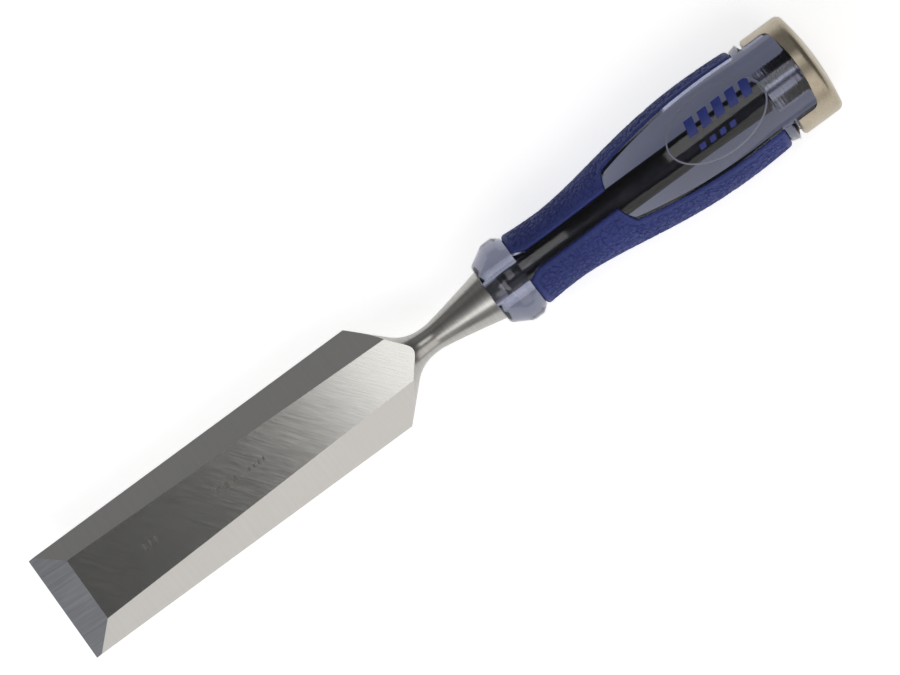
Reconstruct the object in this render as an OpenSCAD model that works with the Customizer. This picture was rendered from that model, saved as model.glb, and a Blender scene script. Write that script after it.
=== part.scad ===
// Bevel-edge chisel with a clear handle, two soft grips and a steel strike cap.
// +X runs from the cutting edge to the strike cap, +Z is the bevelled side of the blade.
// The origin is the middle of the cutting edge, on the flat back.

/* [Blade] */
// Width of the cutting edge
blade_w = 38; // [32:1:50]
// Distance from the cutting edge to the shoulder corners
blade_l = 124.7; // [100:0.1:160]
// Thickness where the cutting bevel starts
tip_t = 4.4; // [3:0.1:6]
// Thickness where the top flat ends
heel_t = 5.9; // [4:0.1:8]
// Length of the cutting bevel along the blade
grind_l = 10.6; // [6:0.1:14]
// Width of the top flat at the cutting bevel
flat_tip_w = 22.7; // [16:0.1:30]
// Width of the top flat at the shoulders
flat_heel_w = 16.2; // [10:0.1:24]
// Height of the straight side under the side bevels
side_land = 0.9; // [0.4:0.1:2]

/* [Neck and tang] */
// Height of the tool's axis above the flat back
axis_z = 0.5; // [0:0.1:3]
// Smallest radius of the neck
neck_r = 4.6; // [3.5:0.1:6]
// Position of the smallest part of the neck
neck_x = 146; // [140:0.5:150]
// Radius of the bolster where it enters the handle
bolster_r = 9; // [7:0.1:11]
// Radius of the tang
tang_r = 3.9; // [3:0.1:5]
// Position of the end of the tang
tang_end = 277; // [240:0.5:285]

/* [Handle] */
// Position of the front face of the handle
handle_x = 169.4; // [160:0.1:180]
// Radius of the open pocket round the tang behind the front face
pocket_r = 5; // [4.5:0.1:7]
// Position where the pocket starts to taper
pocket_x = 181; // [175:0.5:190]
// Position where the pocket closes on the tang
pocket_end = 188; // [184:0.5:200]
// Radius of the front collar
collar_r = 14.7; // [12:0.1:18]
// Radius of the grips at the waist
waist_r = 12.65; // [11:0.05:15]
// Position of the waist
waist_x = 196.5; // [188:0.5:206]
// Radius of the grips at the belly
belly_r = 19.15; // [16:0.05:22]
// Position of the belly
belly_x = 257.3; // [245:0.5:268]
// Height of the handle as a share of its width
flatten = 0.94; // [0.8:0.01:1]

/* [Grips] */
// Front end of the grips
grip_x0 = 182.5; // [181:0.1:186]
// Rear end of the grips
grip_x1 = 275.2; // [268:0.1:277]
// Thickness of the grips
grip_t = 2.6; // [1.6:0.1:4]
// How far the grips stand above the clear plastic
grip_proud = 0.4; // [0.2:0.05:1]
// Half width of the narrow slot between the grips
slot_half = 3.4; // [2:0.1:5]
// Position where the slot starts to open into the wide window
slot_end = 218.2; // [210:0.1:226]
// Position where the wide window has its full corner
window_x = 222.2; // [216:0.1:230]
// Largest half width of the wide window
window_half = 14.9; // [11:0.1:16]

/* [Strike cap] */
// Outer radius of the cap
cap_r = 18.1; // [15:0.1:20]
// Front end of the cap's two ears
cap_x0 = 280; // [276:0.1:286]
// Wall thickness of the cap
cap_wall = 2.6; // [1.5:0.1:4]
// Overall length of the chisel
tool_l = 297; // [280:0.1:320]
// Half width of the clear window between the ears
ear_gap = 14.7; // [11:0.1:16]
// Position of the rim between the ears
rim_x = 290.4; // [286:0.1:292]
// Radius of the inner steel plug
plug_r = 5.3; // [4:0.1:7]

/* [Hidden] */
$fn = 96;
half_w = blade_w / 2;
fit = 0.05;
skin_gap = 0.08;
edge_gap = 0.12;
bolster_end = handle_x - fit;
cap_disc = 4.8;
cap_floor = tool_l - cap_disc;
spigot_r = cap_r - cap_wall - 0.1;
spigot_end = cap_floor - 0.1;
ridge_x = 278.2;
ridge_r = 18.4;
notch_r = 16.2;
cap_front_chamfer = 0.7;
plug_ridges = 9;
ridge_h = 0.3;
front_rise = 0.67;
belly_drop = 0.8;
cutter_back = 60;
cutter_l = 260;
cutter_w = 60;
cutter_h = 30;

// Turns a profile drawn as [along the axis, radius] into a solid about the tool's axis.
module turned(profile) {
    translate([0, 0, axis_z])
        rotate([0, 90, 0])
            rotate_extrude()
                polygon([for (p = profile) [p[1], p[0]]]);
}

// Top of the blade at a distance x from the cutting edge, away from the cutting bevel.
function top_z(x) = tip_t + (heel_t - tip_t) * (x - grind_l) / (blade_l - grind_l);

// Radius that the shoulders and the neck share: a 45 degree cone, a fillet, then the neck.
shoulder_end = 11;
fillet_x = blade_l + shoulder_end;
fillet_r = half_w - shoulder_end;
fillet_l = neck_x - fillet_x;
function flare_r(x) =
    x <= fillet_x
        ? half_w + blade_l - x
        : neck_r + (fillet_r - neck_r) * pow((neck_x - x) / fillet_l, 2.6);

flare_steps = 22;
flare = concat(
    [[0, 0], [0, half_w + blade_l]],
    [for (i = [0 : flare_steps]) let (x = fillet_x + fillet_l * i / flare_steps) [x, flare_r(x)]],
    [[neck_x, 0]]);

nose_x = 127;
nose_steps = 12;
cone_steps = 12;
cone_l = handle_x - neck_x;
cone_x0 = neck_x + 1;
function cone_r(x) =
    neck_r + (bolster_r - neck_r) * pow((x - cone_x0) / (handle_x - cone_x0), 1.12);
shaft = concat(
    [[nose_x, 0]],
    [for (i = [1 : nose_steps]) let (k = i / nose_steps)
        [nose_x + (neck_x - nose_x) * k, neck_r * sin(90 * k)]],
    [for (i = [0 : cone_steps]) let (x = cone_x0 + (bolster_end - cone_x0) * i / cone_steps)
        [x, cone_r(x)]],
    [[bolster_end, tang_r],
     [tang_end - 1, tang_r],
     [tang_end, tang_r - 1],
     [tang_end, 0]]);

// Wedge of metal ground away over one side bevel.
module side_bevel() {
    z0 = tip_t - side_land;
    run = half_w - flat_tip_w / 2;
    slope = atan2(z0, run);
    swing = atan2((flat_tip_w - flat_heel_w) / 2, blade_l + 9 - grind_l);
    lift = atan2(heel_t - tip_t, blade_l - grind_l);
    translate([grind_l, flat_tip_w / 2, tip_t])
        rotate([0, -lift, -swing])
            rotate([-slope, 0, 0])
                translate([-cutter_back, 0, 0])
                    cube([cutter_l, cutter_w, cutter_h]);
}

module plate() {
    end_x = neck_x + 2;
    difference() {
        translate([0, half_w, 0])
            rotate([90, 0, 0])
                linear_extrude(blade_w)
                    polygon([[0, 0], [end_x, 0], [end_x, top_z(end_x)], [grind_l, tip_t], [0, 0.04]]);
        side_bevel();
        mirror([0, 1, 0]) side_bevel();
    }
}

module blade() {
    color([0.62, 0.61, 0.59]) {
        intersection() {
            plate();
            turned(flare);
        }
        turned(shaft);
    }
}

// Outside of the grips, as a radius in plan.
function grip_r(x) =
    x < waist_x
        ? waist_r + front_rise * pow((waist_x - x) / (waist_x - grip_x0), 2)
        : x < belly_x
            ? waist_r + (belly_r - waist_r) * (1 - cos(180 * belly_share(x))) / 2
            : belly_r - belly_drop * pow((x - belly_x) / (grip_x1 - belly_x), 2);
function belly_share(x) = pow((x - waist_x) / (belly_x - waist_x), 0.82);

// Height of the section as a share of its width: rounder towards the cap.
function squash(x) =
    x < 250 ? flatten
    : x > 276 ? 1
    : flatten + (1 - flatten) * (1 - cos(180 * (x - 250) / 26)) / 2;

// Half width of the clear window between the grips.
slot_x0 = 187;
function window_y(x) =
    x < slot_x0 ? slot_half + 2 * (slot_x0 - x) / (slot_x0 - grip_x0)
    : x < slot_end ? slot_half
    : x < window_x
        ? slot_half + (wide_y(window_x) - slot_half) * sin(90 * (x - slot_end) / (window_x - slot_end))
        : wide_y(x);
function wide_y(x) =
    x < 262 ? window_half - 4.8 * pow((262 - x) / 40, 2) : window_half - 0.3 * pow((x - 262) / 12, 2);

function window_angle(x, r) = asin(min(0.98, window_y(min(x, grip_x1)) / r));

// Point on the handle's section: angle from the top, towards +Y.
function on_section(x, r, depth, angle) =
    [x, (r - depth) * sin(angle), axis_z + (r * squash(x) - depth) * cos(angle)];

// Walls of a stack of rings that all have the same number of points.
function stack_faces(rings, n) = concat(
    [[for (j = [0 : n - 1]) j]],
    [for (i = [0 : rings - 2]) for (j = [0 : n - 1]) let (a = i * n + j, b = i * n + (j + 1) % n)
        each [[a, a + n, b + n], [a, b + n, b]]],
    [[for (j = [n - 1 : -1 : 0]) (rings - 1) * n + j]]);

// Stations along the handle: [position, radius at the windows, radius at the sides, edge angle].
front_angle = window_angle(grip_x0, grip_r(grip_x0));
ear_angle = asin((ear_gap - 0.15) / (cap_r - 0.2));
grip_stations = concat(
    [for (i = [0 : 3]) grip_x0 - 0.1 + (slot_x0 - grip_x0 + 0.1) * i / 3],
    [for (i = [1 : 9]) slot_x0 + (slot_end - slot_x0) * i / 9],
    [for (i = [1 : 6]) slot_end + (window_x - slot_end) * i / 6],
    [for (i = [1 : 24]) window_x + (grip_x1 + 0.1 - window_x) * i / 24]);

function core_ring(x, r_window, r_side, edge) = [
    for (side = [0, 1])
        each concat(
            [for (j = [0 : 8]) on_section(x, r_window, 0, 180 * side - edge + 2 * edge * j / 8)],
            [for (j = [0 : 14]) on_section(x, r_side, 0, 180 * side + edge + (180 - 2 * edge) * j / 14)])];

function recess_r(x) = grip_r(x) - grip_t;

module core_outside() {
    collar = [
        [handle_x, bolster_r + 1.2],
        [handle_x + 1, collar_r - 3.3],
        [handle_x + 6.6, collar_r],
        [handle_x + 10.5, collar_r],
        [grip_x0 - 0.2, grip_r(grip_x0) - grip_proud]];
    rear_r = grip_r(grip_x1);
    rear_angle = window_angle(grip_x1, rear_r);
    rings = concat(
        [for (c = collar) core_ring(c[0], c[1], c[1], front_angle)],
        [for (x = grip_stations)
            core_ring(x, grip_r(x) - grip_proud, recess_r(x), window_angle(x, grip_r(x)))],
        [core_ring(grip_x1 + 0.2, rear_r - grip_proud, rear_r - 0.9, rear_angle)],
        [core_ring(ridge_x, cap_r - 0.1, ridge_r, (ear_angle + rear_angle) / 2)],
        [core_ring(cap_x0 - 0.9, cap_r - 0.15, notch_r, ear_angle)],
        [core_ring(cap_x0 - 0.4, cap_r - 0.2, spigot_r, ear_angle)],
        [core_ring(rim_x - 0.2, cap_r - 0.2, spigot_r, ear_angle)],
        [core_ring(rim_x - 0.1, spigot_r, spigot_r, ear_angle)],
        [core_ring(spigot_end, spigot_r, spigot_r, ear_angle)]);
    polyhedron([for (r = rings) each r], stack_faces(len(rings), len(rings[0])));
}

module handle_core() {
    color([0.42, 0.44, 0.52, 0.45])
        difference() {
            core_outside();
            turned([
                [handle_x - 1, 0],
                [handle_x - 1, pocket_r],
                [pocket_x, pocket_r],
                [pocket_end, tang_r + fit],
                [tang_end + fit, tang_r + fit],
                [tang_end + fit, plug_r + fit],
                [spigot_end + 1, plug_r + fit],
                [spigot_end + 1, 0]]);
        }
}

// One ring of a grip: along the outside with rounded edges, then back along the inside.
round_r = 1.3;
round_steps = 3;
function grip_ring(x, drop) =
    let (r = grip_r(x),
         a0 = window_angle(x, r) + edge_gap / r * 57.3,
         turn = round_r / r * 57.3,
         a1 = 180 - a0,
         wide = a1 - a0 - 2 * turn)
    concat(
        [for (k = [0 : round_steps]) let (q = 90 * k / round_steps)
            on_section(x, r, drop + round_r * (1 - sin(q)), a0 + turn * (1 - cos(q)))],
        [for (j = [1 : 13]) on_section(x, r, drop, a0 + turn + wide * j / 14)],
        [for (k = [round_steps : -1 : 0]) let (q = 90 * k / round_steps)
            on_section(x, r, drop + round_r * (1 - sin(q)), a1 - turn * (1 - cos(q)))],
        [for (j = [14 : -1 : 0]) on_section(x, r - grip_t + skin_gap, 0, a0 + (a1 - a0) * j / 14)]);

module grip() {
    ends = [[0, 1.3], [0.4, 0.5], [1.3, 0]];
    rings = concat(
        [for (e = ends) grip_ring(grip_x0 + e[0], e[1])],
        [for (x = grip_stations) if (x > grip_x0 + 1.5 && x < grip_x1 - 1.5) grip_ring(x, 0)],
        [for (k = [2 : -1 : 0]) grip_ring(grip_x1 - ends[k][0], ends[k][1])]);
    polyhedron([for (r = rings) each r], stack_faces(len(rings), len(rings[0])));
}

module grip_left() {
    color([0.15, 0.2, 0.5]) grip();
}

module grip_right() {
    color([0.15, 0.2, 0.5]) mirror([0, 1, 0]) grip();
}

// Flat shape that opens the cap between its ears.
module ear_window() {
    corner = 2.6;
    bow = 1.4;
    bow_r = 52;
    x0 = cap_x0 - 1;
    x1 = rim_x - bow;
    flat_half = ear_gap - corner;
    translate([x0, -ear_gap]) square([x1 - corner - x0, 2 * ear_gap]);
    translate([x0, -flat_half]) square([x1 - x0, 2 * flat_half]);
    for (side = [-1, 1])
        translate([x1 - corner, side * flat_half]) circle(corner);
    intersection() {
        translate([x1 - 0.2, -flat_half]) square([bow + 0.2, 2 * flat_half]);
        translate([rim_x - bow_r, 0]) circle(bow_r);
    }
}

dome = 1.5;
edge_r = 2.4;
dome_steps = 6;
module strike_cap() {
    edge_x = tool_l - dome;
    face_r = cap_r - edge_r;
    reach = cap_r + 10;
    color([0.72, 0.66, 0.55])
        difference() {
            turned(concat(
                [[cap_x0, cap_r - cap_wall],
                 [cap_x0, cap_r - cap_front_chamfer],
                 [cap_x0 + cap_front_chamfer, cap_r],
                 [edge_x - edge_r, cap_r]],
                [for (q = [18 : 18 : 72])
                    [edge_x - edge_r + edge_r * sin(q), cap_r - edge_r * (1 - cos(q))]],
                [for (i = [0 : dome_steps]) let (k = 1 - i / dome_steps)
                    [edge_x + dome * (1 - k * k), face_r * k]],
                [[cap_floor, 0],
                 [cap_floor, cap_r - cap_wall]]));
            translate([0, 0, axis_z - reach]) linear_extrude(2 * reach) ear_window();
        }
}

module strike_plug() {
    x0 = tang_end + 2 * fit;
    x1 = cap_floor - fit;
    step = (x1 - x0 - 1) / plug_ridges;
    color([0.75, 0.74, 0.72])
        turned(concat(
            [[x0, 0], [x0, plug_r - ridge_h]],
            [for (i = [0 : plug_ridges - 1]) each [
                [x0 + 0.5 + step * i, plug_r - ridge_h],
                [x0 + 0.5 + step * (i + 0.3), plug_r],
                [x0 + 0.5 + step * (i + 0.7), plug_r],
                [x0 + 0.5 + step * (i + 1), plug_r - ridge_h]]],
            [[x1, plug_r - ridge_h], [x1, 0]]));
}

blade();
handle_core();
grip_left();
grip_right();
strike_cap();
strike_plug();
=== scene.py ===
import bpy
import bmesh
import math
from mathutils import Matrix, Vector, noise


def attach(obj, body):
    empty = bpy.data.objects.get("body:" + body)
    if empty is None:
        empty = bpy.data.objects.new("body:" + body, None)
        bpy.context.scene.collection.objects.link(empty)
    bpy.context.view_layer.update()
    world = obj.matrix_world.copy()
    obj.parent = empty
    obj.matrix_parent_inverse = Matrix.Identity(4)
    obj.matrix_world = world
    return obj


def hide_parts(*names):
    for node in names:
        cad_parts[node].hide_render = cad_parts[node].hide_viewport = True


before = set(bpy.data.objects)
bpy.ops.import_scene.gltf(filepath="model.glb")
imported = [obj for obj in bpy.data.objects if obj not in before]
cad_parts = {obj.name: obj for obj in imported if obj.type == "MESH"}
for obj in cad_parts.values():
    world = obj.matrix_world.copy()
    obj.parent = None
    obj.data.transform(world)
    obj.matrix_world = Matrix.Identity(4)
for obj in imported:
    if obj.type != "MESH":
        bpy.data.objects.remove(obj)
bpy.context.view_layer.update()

MM = 0.001
TAU = 2 * math.pi

# ---------------------------------------------------------------- shape of the handle (mm)
BLADE_L, GRIND_L, TIP_T, HEEL_T = 124.7, 10.6, 4.4, 5.9
AXIS_Z = 0.5
HANDLE_X = 169.4
COLLAR_R = 14.7
WAIST_R, WAIST_X = 12.65, 196.5
BELLY_R, BELLY_X = 19.15, 257.3
FLATTEN = 0.94
EDGE_BREAK = 0.12
GRIP_X0, GRIP_X1 = 182.5, 275.2
GRIP_T, GRIP_PROUD = 2.6, 0.4
FRONT_RISE, BELLY_DROP, SLOT_X0 = 0.67, 0.8, 187.0
ROUNDING_X0, ROUNDING_X1 = 250.0, 276.0
EDGE_GAP, SKIN_GAP, EDGE_ROUND = 0.12, 0.08, 1.2
SLOT_HALF, SLOT_END, WINDOW_X, WINDOW_HALF = 3.4, 218.2, 222.2, 14.9
CAP_R, CAP_X0, CAP_WALL, RIM_X, EAR_GAP = 18.1, 280.0, 2.6, 290.4, 14.7
RIDGE_X, RIDGE_R, NOTCH_R = 278.2, 18.4, 16.2
SPIGOT_R, SPIGOT_END = CAP_R - CAP_WALL - 0.1, 292.1
POCKET_R, POCKET_X, POCKET_END = 5.0, 181.0, 188.0
TANG_R, PLUG_R = 3.9, 5.22
ROOT_BRIGHT = 175.8
FLAT_END = 142


def smooth(t):
    t = min(1.0, max(0.0, t))
    return t * t * (3 - 2 * t)


def grip_r(x):
    """Outside radius of the grips in plan."""
    if x < WAIST_X:
        return WAIST_R + FRONT_RISE * ((WAIST_X - x) / (WAIST_X - GRIP_X0)) ** 2
    if x < BELLY_X:
        k = ((x - WAIST_X) / (BELLY_X - WAIST_X)) ** 0.82
        return WAIST_R + (BELLY_R - WAIST_R) * (1 - math.cos(math.pi * k)) / 2
    return BELLY_R - BELLY_DROP * ((x - BELLY_X) / (GRIP_X1 - BELLY_X)) ** 2


def squash(x):
    """Height of the handle's section as a share of its width: rounder towards the cap."""
    if x < ROUNDING_X0:
        return FLATTEN
    if x > ROUNDING_X1:
        return 1.0
    turn = math.pi * (x - ROUNDING_X0) / (ROUNDING_X1 - ROUNDING_X0)
    return FLATTEN + (1 - FLATTEN) * (1 - math.cos(turn)) / 2


def wide_y(x):
    if x < 262:
        return WINDOW_HALF - 4.8 * ((262 - x) / 40) ** 2
    return WINDOW_HALF - 0.3 * ((x - 262) / 12) ** 2


def window_y(x):
    """Half width of the clear slot and window between the grips."""
    if x < SLOT_X0:
        return SLOT_HALF + 2 * (SLOT_X0 - x) / (SLOT_X0 - GRIP_X0)
    if x < SLOT_END:
        return SLOT_HALF
    if x < WINDOW_X:
        k = math.sin(math.pi / 2 * (x - SLOT_END) / (WINDOW_X - SLOT_END))
        return SLOT_HALF + (wide_y(WINDOW_X) - SLOT_HALF) * k
    return wide_y(x)


def window_angle(x, r):
    return math.asin(min(0.98, window_y(min(x, GRIP_X1)) / r))


def section(x, r, depth, a):
    """Point of the handle at x, a radians round from the top towards +Y, depth under the skin."""
    high = AXIS_Z + (r * squash(x) - depth) * math.cos(a)
    return (x * MM, (r - depth) * math.sin(a) * MM, high * MM)


def round_section(x, r, a):
    """Point of a round part about the tool's axis, a radians round from the top towards +Y."""
    return (x * MM, r * math.sin(a) * MM, (AXIS_Z + r * math.cos(a)) * MM)


def frange(a, b, n):
    """n equal steps from a to b, both ends included."""
    return [a + (b - a) * i / n for i in range(n + 1)]


# ---------------------------------------------------------------- mesh helpers
def new_object(name, verts, faces):
    mesh = bpy.data.meshes.new(name)
    mesh.from_pydata(verts, [], faces)
    mesh.validate()
    mesh.update()
    obj = bpy.data.objects.new(name, mesh)
    bpy.context.scene.collection.objects.link(obj)
    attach(obj, "root")
    return obj


def outward(obj, merge=0.0):
    """Turns all faces outwards, after joining points that lie closer than merge."""
    bm = bmesh.new()
    bm.from_mesh(obj.data)
    if merge:
        bmesh.ops.remove_doubles(bm, verts=bm.verts, dist=merge)
    bmesh.ops.recalc_face_normals(bm, faces=bm.faces)
    bm.to_mesh(obj.data)
    bm.free()
    return obj


def ring_stack(name, rings):
    """Closed solid through rings that all have the same number of points."""
    n = len(rings[0])
    verts = [p for ring in rings for p in ring]
    faces = []
    for i in range(len(rings) - 1):
        for j in range(n):
            a, b = i * n + j, i * n + (j + 1) % n
            faces.append((a, a + n, b + n, b))
    faces.append(tuple(range(n)))
    last = (len(rings) - 1) * n
    faces.append(tuple(last + j for j in range(n - 1, -1, -1)))
    return outward(new_object(name, verts, faces), 1e-7)


def shade(obj, angle=30):
    """Smooth shading that keeps edges sharper than the angle crisp."""
    mesh = obj.data
    mesh.polygons.foreach_set("use_smooth", [True] * len(mesh.polygons))
    bm = bmesh.new()
    bm.from_mesh(mesh)
    limit = math.radians(angle)
    for e in bm.edges:
        e.smooth = not (len(e.link_faces) == 2 and e.calc_face_angle(0) > limit)
    bm.to_mesh(mesh)
    bm.free()


def copy_of(node, name):
    """A clean copy of a CAD node's mesh: joined vertices, flat faces merged."""
    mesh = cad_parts[node].data.copy()
    mesh.name = name
    mesh.materials.clear()
    obj = bpy.data.objects.new(name, mesh)
    bpy.context.scene.collection.objects.link(obj)
    bm = bmesh.new()
    bm.from_mesh(mesh)
    bmesh.ops.remove_doubles(bm, verts=bm.verts, dist=2e-6)
    bmesh.ops.dissolve_limit(bm, angle_limit=math.radians(0.4), verts=bm.verts, edges=bm.edges)
    bmesh.ops.recalc_face_normals(bm, faces=bm.faces)
    bm.to_mesh(mesh)
    bm.free()
    if mesh.has_custom_normals:
        bpy.context.view_layer.objects.active = obj
        with bpy.context.temp_override(object=obj, active_object=obj, selected_objects=[obj]):
            bpy.ops.mesh.customdata_custom_splitnormals_clear()
    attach(obj, "root")
    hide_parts(node)
    return obj


def turned(name, profile, segments):
    """Solid of revolution about the tool's axis from [(x, r), ...] in mm, closed at both ends."""
    rings = [[round_section(x, r, TAU * j / segments) for j in range(segments)] for x, r in profile]
    return ring_stack(name, rings)


# ---------------------------------------------------------------- material helpers
class Nodes:
    """Short way to write a material's node tree."""

    def __init__(self, name):
        self.mat = bpy.data.materials.new(name)
        self.mat.use_nodes = True
        self.tree = self.mat.node_tree
        self.tree.nodes.clear()
        self.out = self.add("ShaderNodeOutputMaterial")
        self.bsdf = self.add("ShaderNodeBsdfPrincipled")
        self.link(self.bsdf.outputs[0], self.out.inputs["Surface"])

    def add(self, kind, **values):
        node = self.tree.nodes.new(kind)
        for key, value in values.items():
            if key in node.inputs:
                node.inputs[key].default_value = value
            else:
                setattr(node, key, value)
        return node

    def link(self, a, b):
        self.tree.links.new(a, b)

    def set(self, **values):
        for key, value in values.items():
            name = key.replace("_", " ")
            if hasattr(value, "is_output"):
                self.link(value, self.bsdf.inputs[name])
            else:
                self.bsdf.inputs[name].default_value = value

    def coords(self, scale=(1, 1, 1)):
        tc = self.add("ShaderNodeTexCoord")
        mp = self.add("ShaderNodeMapping")
        mp.inputs["Scale"].default_value = scale
        self.link(tc.outputs["Object"], mp.inputs["Vector"])
        return mp.outputs[0]

    def turned_coords(self, scale=(1, 1, 1), rotation=(0, 0, 0)):
        """Object coordinates turned first and scaled after, for scratches along any direction."""
        tc = self.add("ShaderNodeTexCoord")
        turn = self.add("ShaderNodeMapping")
        turn.inputs["Rotation"].default_value = rotation
        self.link(tc.outputs["Object"], turn.inputs["Vector"])
        stretch = self.add("ShaderNodeMapping")
        stretch.inputs["Scale"].default_value = scale
        self.link(turn.outputs[0], stretch.inputs["Vector"])
        return stretch.outputs[0]

    def noise(self, vector, scale=1.0, detail=3.0, rough=0.5):
        n = self.add("ShaderNodeTexNoise", Scale=scale, Detail=detail, Roughness=rough)
        self.link(vector, n.inputs["Vector"])
        return n.outputs["Fac"]

    def ramp(self, value, stops):
        r = self.add("ShaderNodeValToRGB")
        self.link(value, r.inputs["Fac"])
        elements = r.color_ramp.elements
        while len(elements) < len(stops):
            elements.new(0.5)
        for e, (pos, col) in zip(elements, stops):
            e.position = pos
            e.color = (col, col, col, 1) if isinstance(col, (int, float)) else tuple(col) + (1,)
        return r.outputs["Color"]

    def mix(self, fac, a, b):
        m = self.add("ShaderNodeMix", data_type="RGBA")
        for value, key in ((fac, 0), (a, 6), (b, 7)):
            if hasattr(value, "is_output"):
                self.link(value, m.inputs[key])
            elif key == 0:
                m.inputs[0].default_value = value
            else:
                m.inputs[key].default_value = tuple(value) + (1,) if len(value) == 3 else value
        return m.outputs[2]

    def math(self, op, a, b=0.0):
        m = self.add("ShaderNodeMath", operation=op)
        for i, value in enumerate((a, b)):
            if hasattr(value, "is_output"):
                self.link(value, m.inputs[i])
            else:
                m.inputs[i].default_value = value
        return m.outputs[0]

    def bump(self, height, strength, distance):
        b = self.add("ShaderNodeBump", Strength=strength, Distance=distance)
        self.link(height, b.inputs["Height"])
        return b.outputs[0]


def ground_steel(name, colour, spread, rough, turn, coarse=1.0, depth=0.3, broad=0.45):
    """Ground steel: fine parallel scratches turned about Z, broad is the share of wide streaks."""
    n = Nodes(name)
    fine = n.noise(n.turned_coords((60 * coarse, 2600 * coarse, 60), (0, 0, turn)), 1.0, 4.0, 0.6)
    streak = n.noise(n.turned_coords((9, 420 * coarse, 9), (0, 0, turn)), 1.0, 3.0, 0.55)
    patch = n.noise(n.coords((60, 60, 60)), 1.0, 3.0, 0.5)
    lo = tuple(c * (1 - spread) for c in colour)
    hi = tuple(min(1.0, c * (1 + spread)) for c in colour)
    mixed = n.math("ADD", n.math("MULTIPLY", fine, 1 - broad), n.math("MULTIPLY", streak, broad))
    col = n.mix(n.ramp(mixed, [(0.32, 0), (0.68, 1)]), lo, hi)
    col = n.mix(n.math("MULTIPLY", n.ramp(patch, [(0.35, 0), (0.75, 1)]), 0.25), col, lo)
    r = n.math("ADD", n.math("MULTIPLY", streak, 0.35 * broad),
               n.math("ADD", n.math("MULTIPLY", fine, 0.08), rough - 0.04 - 0.175 * broad))
    n.set(Base_Color=col, Roughness=r, Metallic=1.0, Normal=n.bump(mixed, depth, 0.00003))
    return n.mat


# ---------------------------------------------------------------- materials
flat_steel = ground_steel("flat_steel", (0.50, 0.49, 0.465), 0.12, 0.135, math.radians(52), 2.2, 0.05, 0.07)
bevel_steel = ground_steel("bevel_steel", (0.52, 0.51, 0.49), 0.05, 0.32, math.radians(90), 1.6, 0.25)
grind_steel = ground_steel("grind_steel", (0.33, 0.34, 0.365), 0.26, 0.38, math.radians(6), 1.6, 0.6)
back_steel = ground_steel("back_steel", (0.50, 0.49, 0.47), 0.14, 0.28, math.radians(0))


def polished_neck():
    n = Nodes("neck_steel")
    ring = n.noise(n.coords((2200, 30, 30)), 1.0, 3.0, 0.6)
    soft = n.noise(n.coords((120, 60, 60)), 1.0, 2.0, 0.5)
    col = n.mix(n.ramp(ring, [(0.3, 0), (0.7, 1)]), (0.37, 0.36, 0.34), (0.46, 0.45, 0.43))
    col = n.mix(n.math("MULTIPLY", soft, 0.3), col, (0.35, 0.34, 0.32))
    r = n.math("ADD", n.math("MULTIPLY", soft, 0.12), 0.24)
    n.set(Base_Color=col, Roughness=r, Metallic=1.0, Normal=n.bump(ring, 0.12, 0.00002))
    return n.mat


def black_tang():
    n = Nodes("tang_steel")
    scale = n.noise(n.coords((500, 500, 500)), 1.0, 4.0, 0.6)
    blotch = n.noise(n.coords((60, 120, 120)), 1.0, 3.0, 0.6)
    col = n.mix(n.ramp(blotch, [(0.35, 0), (0.7, 1)]), (0.09, 0.088, 0.09), (0.15, 0.145, 0.15))
    r = n.math("ADD", n.math("MULTIPLY", scale, 0.25), 0.36)
    n.set(Base_Color=col, Roughness=r, Metallic=0.7, Normal=n.bump(scale, 0.3, 0.0001))
    return n.mat


def clear_plastic():
    n = Nodes("clear_plastic")
    haze = n.noise(n.coords((90, 90, 90)), 1.0, 3.0, 0.5)
    r = n.math("ADD", n.math("MULTIPLY", haze, 0.05), 0.03)
    wave = n.noise(n.coords((70, 160, 160)), 1.0, 2.0, 0.5)
    n.set(Base_Color=(0.93, 0.94, 1.0, 1), Roughness=r, IOR=1.48, Transmission_Weight=1.0,
          Normal=n.bump(wave, 0.05, 0.0002))
    vol = n.add("ShaderNodeVolumeAbsorption", Color=(0.41, 0.43, 0.53, 1), Density=98.0)
    n.link(vol.outputs[0], n.out.inputs["Volume"])
    return n.mat


def soft_grip():
    n = Nodes("grip_grain")
    cells = n.add("ShaderNodeTexVoronoi", feature="DISTANCE_TO_EDGE", Scale=520.0, Randomness=1.0)
    n.link(n.coords(), cells.inputs["Vector"])
    fine = n.noise(n.coords((1500, 1500, 1500)), 1.0, 3.0, 0.6)
    worn = n.noise(n.coords((40, 40, 40)), 1.0, 3.0, 0.55)
    edge = n.ramp(cells.outputs["Distance"], [(0.0, 0), (0.16, 1)])
    col = n.mix(n.ramp(worn, [(0.3, 0), (0.7, 1)]), (0.024, 0.038, 0.185), (0.034, 0.050, 0.230))
    # painted shade: the grain's creases, where the cell edges sit low in the bump, are painted a darker
    # blue
    col = n.mix(n.math("MULTIPLY", n.math("SUBTRACT", 1.0, edge), 0.35), col, (0.016, 0.024, 0.120))
    height = n.math("ADD", n.math("MULTIPLY", edge, 0.7), n.math("MULTIPLY", fine, 0.3))
    r = n.math("ADD", n.math("MULTIPLY", fine, 0.12), 0.52)
    n.set(Base_Color=col, Roughness=r, Specular_IOR_Level=0.35, Normal=n.bump(height, 0.8, 0.00016))
    return n.mat


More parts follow.
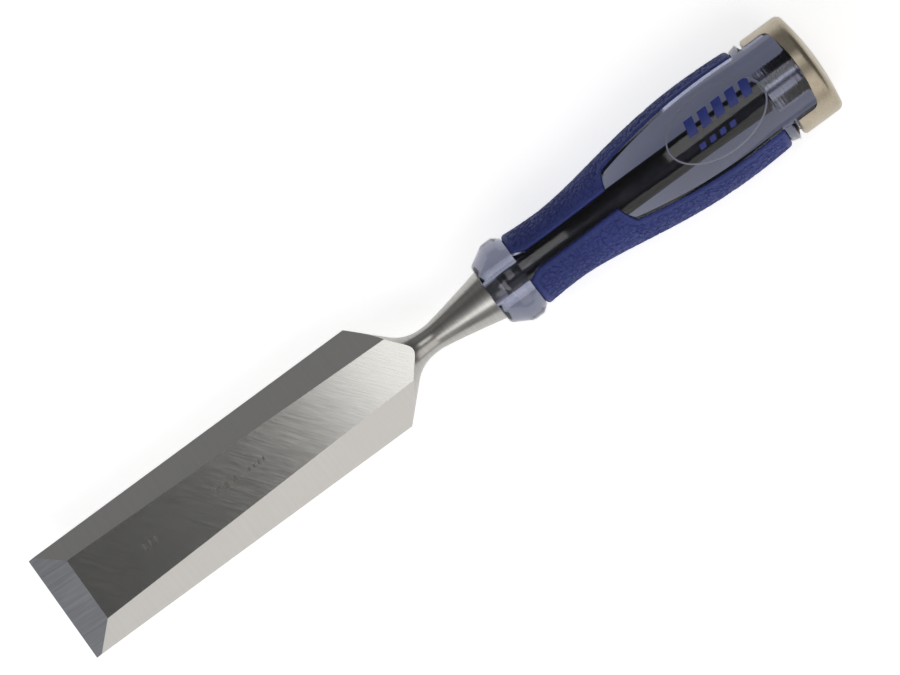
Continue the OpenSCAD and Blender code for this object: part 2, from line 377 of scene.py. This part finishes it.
def champagne():
    n = Nodes("champagne_plate")
    fine = n.noise(n.turned_coords((60, 900, 900), (0, 0, 0)), 1.0, 4.0, 0.6)
    speck = n.noise(n.coords((1400, 1400, 1400)), 1.0, 3.0, 0.6)
    cloud = n.noise(n.coords((110, 110, 110)), 1.0, 3.0, 0.55)
    col = n.mix(n.ramp(cloud, [(0.3, 0), (0.7, 1)]), (0.37, 0.32, 0.24), (0.48, 0.42, 0.33))
    col = n.mix(n.math("MULTIPLY", n.ramp(speck, [(0.45, 0), (0.75, 1)]), 0.4), col, (0.27, 0.22, 0.15))
    r = n.math("ADD", n.math("MULTIPLY", fine, 0.14), n.math("ADD", n.math("MULTIPLY", speck, 0.10), 0.24))
    n.set(Base_Color=col, Roughness=r, Metallic=1.0, Normal=n.bump(speck, 0.25, 0.00005))
    return n.mat


def bright_plug():
    n = Nodes("plug_steel")
    fine = n.noise(n.coords((1600, 200, 200)), 1.0, 4.0, 0.6)
    col = n.mix(n.ramp(fine, [(0.3, 0), (0.7, 1)]), (0.86, 0.85, 0.84), (0.98, 0.97, 0.96))
    r = n.math("ADD", n.math("MULTIPLY", fine, 0.12), 0.20)
    n.set(Base_Color=col, Roughness=r, Metallic=1.0, Normal=n.bump(fine, 0.2, 0.0001))
    return n.mat


neck_steel = polished_neck()
tang_steel = black_tang()
plastic = clear_plastic()
grip_grain = soft_grip()
cap_plate = champagne()
plug_steel = bright_plug()

# ---------------------------------------------------------------- blade
blade = copy_of("blade", "blade_forging")
# Material slots in order; faces that match none of the rules below stay NECK.
NECK, FLAT, BEVEL, GRIND, BACK, TANG = range(6)
for m in (neck_steel, flat_steel, bevel_steel, grind_steel, back_steel, tang_steel):
    blade.data.materials.append(m)
split = bmesh.new()
split.from_mesh(blade.data)
bmesh.ops.bisect_plane(split, geom=split.verts[:] + split.edges[:] + split.faces[:],
                       plane_co=(ROOT_BRIGHT * MM, 0, 0), plane_no=(1, 0, 0))
split.to_mesh(blade.data)
split.free()
for p in blade.data.polygons:
    x, n = p.center.x / MM, p.normal
    if x > ROOT_BRIGHT:
        p.material_index = TANG
    elif n.z > 0.99 and x < FLAT_END:
        p.material_index = FLAT
    elif n.z < -0.99 and x < FLAT_END:
        p.material_index = BACK
    elif n.x < -0.3 and x < GRIND_L:
        p.material_index = GRIND
    elif abs(n.y) > 0.3 and x < 130 and p.area > 1e-5:
        p.material_index = BEVEL
shade(blade, 19)
crisp = blade.modifiers.new("edges", "BEVEL")
crisp.width = EDGE_BREAK * MM
crisp.segments = 2
crisp.limit_method = "ANGLE"
crisp.angle_limit = math.radians(20)
crisp.harden_normals = False

# ---------------------------------------------------------------- handle core
OVAL_X, OVAL_A, OVAL_B = 259.6, 18.0, 10.7


N_WINDOW, N_SIDE = 96, 28


def core_ring(x, r_window, r_side, edge):
    """Ring of the core: window radius within the edge angle of top and bottom, side radius between."""
    pts = []
    for side in (0, 1):
        for j in range(N_WINDOW + 1):
            a = -edge + 2 * edge * j / N_WINDOW
            pts.append(section(x, r_window, 0, math.pi * side + a))
        for j in range(N_SIDE + 1):
            pts.append(section(x, r_side, 0, math.pi * side + edge + (math.pi - 2 * edge) * j / N_SIDE))
    return pts


stations = frange(GRIP_X0, SLOT_X0, 6) + frange(SLOT_X0, SLOT_END, 26)[1:] \
    + frange(SLOT_END, WINDOW_X, 14)[1:] + frange(WINDOW_X, 240, 24)[1:] + frange(240, GRIP_X1, 110)[1:]
front_angle = window_angle(GRIP_X0, grip_r(GRIP_X0))
rear_angle = window_angle(GRIP_X1, grip_r(GRIP_X1))
ear_angle = math.asin((EAR_GAP - 0.15) / (CAP_R - 0.2))


def round_ring(x, r):
    """Ring of the open pocket, with the same number of points as the rings outside."""
    pts = []
    for side in (0, 1):
        angles = frange(-front_angle, front_angle, N_WINDOW)
        angles += frange(front_angle, math.pi - front_angle, N_SIDE)
        pts += [round_section(x, r, a + math.pi * side) for a in angles]
    return pts


# The open pocket from its closed end to the front face.
core_rings = [
    round_ring(POCKET_END, TANG_R - 0.05),
    round_ring(POCKET_X, POCKET_R),
    round_ring(HANDLE_X, POCKET_R)]
front_r = grip_r(GRIP_X0) - GRIP_PROUD
collar = (
    (HANDLE_X, 10.2), (HANDLE_X + 0.25, 10.9), (HANDLE_X + 1, 11.5),
    (HANDLE_X + 6.3, COLLAR_R - 0.2), (HANDLE_X + 6.9, COLLAR_R),
    (HANDLE_X + 10.3, COLLAR_R), (HANDLE_X + 10.8, COLLAR_R - 0.2),
    (GRIP_X0 - 0.35, front_r + 0.1), (GRIP_X0 - 0.1, front_r))
for x, r in collar:
    core_rings.append(core_ring(x, r, r, front_angle))
for x in stations:
    r = grip_r(x)
    core_rings.append(core_ring(x, r - GRIP_PROUD, r - GRIP_T, window_angle(x, r)))
# Between the grips' ends and the ridge, then the spigot under the cap.
rear_r = grip_r(GRIP_X1)
ridge_angle = (ear_angle + rear_angle) / 2
core_rings.append(core_ring(GRIP_X1 + 0.2, rear_r - GRIP_PROUD, rear_r - 0.9, rear_angle))
core_rings.append(core_ring(RIDGE_X - 0.3, CAP_R - 0.1, RIDGE_R - 0.35, ridge_angle))
core_rings.append(core_ring(RIDGE_X, CAP_R - 0.1, RIDGE_R, ridge_angle))
core_rings.append(core_ring(RIDGE_X + 0.3, CAP_R - 0.12, RIDGE_R - 0.5, ridge_angle))
core_rings.append(core_ring(CAP_X0 - 0.9, CAP_R - 0.15, NOTCH_R, ear_angle))
core_rings.append(core_ring(CAP_X0 - 0.4, CAP_R - 0.2, SPIGOT_R, ear_angle))
core_rings.append(core_ring(RIM_X - 0.3, CAP_R - 0.2, SPIGOT_R, ear_angle))
core_rings.append(core_ring(RIM_X - 0.1, SPIGOT_R, SPIGOT_R, ear_angle))
core_rings.append(core_ring(SPIGOT_END, SPIGOT_R, SPIGOT_R, ear_angle))
core = ring_stack("clear_core", core_rings)
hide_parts("handle_core")
core.data.materials.append(plastic)
shade(core, 24)

# ---------------------------------------------------------------- grips


# The wrinkles' noise is seeded from the clock unless told otherwise.
LEATHER_SEED = 7
noise.seed_set(LEATHER_SEED)


def leather(x, r, a, edge_mm):
    """Relief of the soft grip in mm: raised wrinkles inside a smooth border."""
    inside = smooth((edge_mm - 1.7) / 0.7)
    if inside <= 0:
        return 0.0
    p = Vector((x * 0.55, r * a * 0.62, 0.0))
    p += 0.55 * noise.noise_vector(p * 0.9)
    d = noise.voronoi(Vector((p.x, p.y, 3.7)))[0]
    crease = smooth((d[1] - d[0]) / 0.22)
    fine = noise.noise(Vector((x * 2.2, r * a * 2.2, 0.0)))
    return inside * (0.34 * crease - 0.36 + 0.05 * fine)


def grip_rings(side):
    rings = []
    ends = [(0.0, 1.5), (0.12, 0.95), (0.4, 0.45), (0.9, 0.12), (1.5, 0.0)]
    xs = [(GRIP_X0 + e, d) for e, d in ends]
    xs += [(x, 0.0) for x in frange(GRIP_X0 + 2.0, SLOT_END - 0.3, 150)]
    xs += [(x, 0.0) for x in frange(SLOT_END, WINDOW_X, 26)]
    xs += [(x, 0.0) for x in frange(WINDOW_X + 0.3, GRIP_X1 - 2.0, 220)]
    xs += [(GRIP_X1 - e, d) for e, d in reversed(ends)]
    n_across = 120
    for x, drop in xs:
        r = grip_r(x)
        a0 = window_angle(x, r) + EDGE_GAP / r
        a1 = math.pi - a0
        turn = EDGE_ROUND / r
        ring = []
        for k in range(6):
            q = math.pi / 2 * k / 6
            sunk = drop + EDGE_ROUND * (1 - math.sin(q))
            ring.append(section(x, r, sunk, a0 + turn * (1 - math.cos(q))))
        for j in range(n_across + 1):
            a = a0 + turn + (a1 - a0 - 2 * turn) * j / n_across
            edge_mm = min((a - a0) * r, (a1 - a) * r, x - GRIP_X0, GRIP_X1 - x)
            if abs(x - SLOT_END) < 9:
                for q in (-3, -2, -1, 0, 1, 2, 3):
                    xq = x + q
                    lift_edge = window_angle(xq, grip_r(xq))
                    gap = (min(a, math.pi - a) - lift_edge) * r
                    edge_mm = min(edge_mm, math.hypot(q, max(gap, 0.0)) if gap > 0 else abs(q))
            ring.append(section(x, r, drop - leather(x, r, a * side, edge_mm), a))
        for k in range(5, -1, -1):
            q = math.pi / 2 * k / 6
            sunk = drop + EDGE_ROUND * (1 - math.sin(q))
            ring.append(section(x, r, sunk, a1 - turn * (1 - math.cos(q))))
        for j in range(16, -1, -1):
            ring.append(section(x, r - GRIP_T + SKIN_GAP, 0, a0 + (a1 - a0) * j / 16))
        if side < 0:
            ring = [(p[0], -p[1], p[2]) for p in ring]
        rings.append(ring)
    return rings


for side, node in ((1, "grip_left"), (-1, "grip_right")):
    g = ring_stack("soft_" + node, grip_rings(side))
    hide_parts(node)
    g.data.materials.append(grip_grain)
    shade(g, 50)

# ---------------------------------------------------------------- cap and plug
cap = copy_of("strike_cap", "cap_shell")
cap.data.materials.append(cap_plate)
shade(cap, 22)


def plug_profile():
    """Turned plug with shallow rings, a little uneven."""
    x0, x1 = 277.2, SPIGOT_END
    chamfer, steps = 0.35, 90
    pts = [(x0, PLUG_R - 0.37), (x0 + chamfer, PLUG_R - 0.02)]
    for i in range(1, steps):
        x = x0 + chamfer + (x1 - x0 - 2 * chamfer) * i / steps
        ripple = math.sin(TAU * x / 1.45 + 1.3 * math.sin(x * 1.1))
        pts.append((x, PLUG_R + 0.016 * ripple + 0.003 * math.sin(x * 9.0)))
    return pts + [(x1 - chamfer, PLUG_R - 0.02), (x1, PLUG_R - 0.37)]


plug = turned("ringed_plug", plug_profile(), 96)
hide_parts("strike_plug")
plug.data.materials.append(plug_steel)
shade(plug, 60)

# ---------------------------------------------------------------- plain printed and etched marks
def patch_on(name, outline_list, surface, thickness, material):
    """Thin plates that follow a surface: each outline is a list of (x, y) corners in mm."""
    bm = bmesh.new()
    for outline in outline_list:
        n_long = 12
        (ax, ay), (bx, by), (cx, cy), (dx, dy) = outline
        grid = []
        for i in range(n_long + 1):
            k = i / n_long
            row = []
            for j in range(7):
                h = j / 6
                x = (ax * (1 - k) + bx * k) * (1 - h) + (dx * (1 - k) + cx * k) * h
                y = (ay * (1 - k) + by * k) * (1 - h) + (dy * (1 - k) + cy * k) * h
                row.append((x, y))
            grid.append(row)
        top, low = (
            [[bm.verts.new((x * MM, y * MM, (surface(x, y) + lift) * MM)) for x, y in row] for row in grid]
            for lift in (thickness, -0.05))
        for i in range(n_long):
            for j in range(6):
                bm.faces.new((top[i][j], top[i + 1][j], top[i + 1][j + 1], top[i][j + 1]))
                bm.faces.new((low[i][j + 1], low[i + 1][j + 1], low[i + 1][j], low[i][j]))
        rim = [(i, 0) for i in range(n_long)] + [(n_long, j) for j in range(6)] \
            + [(i, 6) for i in range(n_long, 0, -1)] + [(0, j) for j in range(6, 0, -1)]
        for q in range(len(rim)):
            (i, j), (k, m) = rim[q], rim[(q + 1) % len(rim)]
            bm.faces.new((top[i][j], low[i][j], low[k][m], top[k][m]))
    bmesh.ops.recalc_face_normals(bm, faces=bm.faces)
    mesh = bpy.data.meshes.new(name)
    bm.to_mesh(mesh)
    bm.free()
    mesh.materials.append(material)
    obj = bpy.data.objects.new(name, mesh)
    bpy.context.scene.collection.objects.link(obj)
    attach(obj, "root")
    return obj


def slanted(x0, x1, y0, y1, lean):
    return [(x0, y0), (x1, y0), (x1 + lean, y1), (x0 + lean, y1)]


def window_top(x, y):
    r = grip_r(min(x, GRIP_X1)) - GRIP_PROUD
    k = min(1.0, abs(y) / r)
    return AXIS_Z + r * squash(x) * math.sqrt(1 - k * k)


def blade_top(x, y):
    return TIP_T + (HEEL_T - TIP_T) * (x - GRIND_L) / (BLADE_L - GRIND_L)


def oval_line():
    """Thin raised oval line on the window, a closed band with a rounded top."""
    half, high, steps = 0.28, 0.05, 180
    profile = [
        (-half, -0.05), (-half, 0.4 * high), (-0.5 * half, high),
        (0.5 * half, high), (half, 0.4 * high), (half, -0.05)]
    verts, faces = [], []
    for i in range(steps):
        t = TAU * i / steps
        out = Vector((OVAL_B * math.cos(t), OVAL_A * math.sin(t))).normalized()
        for shift, lift in profile:
            x = OVAL_X + OVAL_A * math.cos(t) + out.x * shift
            y = OVAL_B * math.sin(t) + out.y * shift
            verts.append((x * MM, y * MM, (window_top(x, y) + lift) * MM))
    n = len(profile)
    for i in range(steps):
        for j in range(n):
            a, b, k = i * n + j, i * n + (j + 1) % n, (i + 1) % steps * n
            faces.append((a, b, k + (j + 1) % n, k + j))
    obj = outward(new_object("oval_line", verts, faces))
    n = Nodes("pale_line")
    speck = n.noise(n.coords((900, 900, 900)), 1.0, 3.0, 0.6)
    n.set(Base_Color=n.mix(speck, (0.17, 0.18, 0.24), (0.24, 0.26, 0.33)),
          Roughness=n.math("ADD", n.math("MULTIPLY", speck, 0.2), 0.35))
    obj.data.materials.append(n.mat)
    shade(obj, 60)


def ink():
    n = Nodes("blue_ink")
    speck = n.noise(n.coords((900, 900, 900)), 1.0, 3.0, 0.6)
    shade_mix = n.ramp(speck, [(0.35, 0), (0.65, 1)])
    n.set(Base_Color=n.mix(shade_mix, (0.016, 0.030, 0.200), (0.024, 0.042, 0.250)),
          Roughness=n.math("ADD", n.math("MULTIPLY", speck, 0.2), 0.3))
    return n.mat


def etch():
    n = Nodes("etched_steel")
    speck = n.noise(n.coords((2500, 2500, 2500)), 1.0, 3.0, 0.6)
    n.set(Base_Color=n.mix(speck, (0.17, 0.155, 0.135), (0.25, 0.235, 0.21)), Metallic=0.6,
          Roughness=n.math("ADD", n.math("MULTIPLY", speck, 0.3), 0.4))
    return n.mat


bars = [slanted(249.5 + 5.3 * i, 252.9 + 5.3 * i, 0.2, 5.9, 1.3) for i in range(5)]
bars += [slanted(250.2 + 3.9 * i, 252.4 + 3.9 * i, -4.9, -3.1, 0.5) for i in range(4)]
oval_line()
patch_on("printed_bars", bars, window_top, 0.03, ink())
ticks = [slanted(62.0 + 3.4 * i, 63.3 + 3.4 * i, -0.4, 1.5, 0.3) for i in range(3)]
ticks += [slanted(74.5 + 1.9 * i, 75.2 + 1.9 * i, -0.3, 0.9, 0.2) for i in range(4)]
ticks += [slanted(33.0 + 2.2 * i, 33.8 + 2.2 * i, -0.8, 1.2, 0.0) for i in range(3)]
patch_on("etched_marks", ticks, blade_top, 0.012, etch())

# ---------------------------------------------------------------- stage, light and camera


def stage_floor():
    n = Nodes("floor_paper")
    soft = n.noise(n.coords((6, 6, 6)), 1.0, 3.0, 0.5)
    n.set(Base_Color=n.mix(soft, (0.90, 0.90, 0.90), (0.93, 0.93, 0.93)), Roughness=0.8,
          Emission_Color=(1, 1, 1, 1), Emission_Strength=0.62)
    mesh = bpy.data.meshes.new("floor")
    bm = bmesh.new()
    bmesh.ops.create_grid(bm, x_segments=8, y_segments=8, size=4.0)
    bm.to_mesh(mesh)
    bm.free()
    floor = bpy.data.objects.new("floor", mesh)
    bpy.context.scene.collection.objects.link(floor)
    floor.location.z = FLOOR_Z
    mesh.materials.append(n.mat)


FLOOR_Z = -0.0185
stage_floor()


def softbox(name, place, aim, size, radiance, colour=(1, 1, 1)):
    data = bpy.data.lights.new(name, "AREA")
    data.shape = "RECTANGLE"
    data.size, data.size_y = size
    data.energy = radiance * math.pi * size[0] * size[1]
    data.color = colour
    lamp = bpy.data.objects.new(name, data)
    bpy.context.scene.collection.objects.link(lamp)
    lamp.location = place
    lamp.rotation_euler = (Vector(aim) - Vector(place)).to_track_quat("-Z", "Y").to_euler()
    lamp.visible_camera = False
    return lamp


world = bpy.data.worlds.new("studio")
bpy.context.scene.world = world
world.use_nodes = True
world.node_tree.nodes["Background"].inputs["Color"].default_value = (0.97, 0.98, 1.0, 1)
world.node_tree.nodes["Background"].inputs["Strength"].default_value = 0.13

softbox("over_heel", (0.305, 0.17, 1.3), (0.305, 0.17, 0), (0.61, 0.5), 1.85)
softbox("side_low", (0.40, -0.85, 0.66), (0.40, 0, 0), (1.12, 1.15), 1.08, (1.0, 0.975, 0.95))
softbox("streak", (-0.60, -0.42, 0.95), (0.16, 0, 0), (1.1, 0.42), 2.5)
softbox("fill_far", (0.2, 1.3, 0.85), (0.12, 0, 0), (1.6, 0.8), 0.17)
softbox("fill_tip", (-1.1, 0.2, 0.75), (0.05, 0, 0), (0.9, 0.7), 0.12)

CAMERA_ROLL = math.radians(7.5)
CAMERA_PITCH = math.radians(2.3)
CAMERA_TURN = math.radians(36.3)
DISTANCE = 2.0
target = Vector((0.1510, -0.0033, 0.001))
toward = Vector((math.sin(CAMERA_PITCH), -math.sin(CAMERA_ROLL), 1)).normalized()
x_axis = Vector((1, 0, 0))
x_axis = (x_axis - toward * x_axis.dot(toward)).normalized()
y_axis = toward.cross(x_axis)
right = x_axis * math.cos(CAMERA_TURN) - y_axis * math.sin(CAMERA_TURN)
up = toward.cross(right)
data = bpy.data.cameras.new("camera")
data.sensor_width = 36
data.lens = 251.9
camera = bpy.data.objects.new("camera", data)
bpy.context.scene.collection.objects.link(camera)
m = Matrix((right, up, toward)).transposed().to_4x4()
m.translation = target + toward * DISTANCE
camera.matrix_world = m
bpy.context.scene.camera = camera
bpy.context.scene.view_settings.view_transform = "Standard"
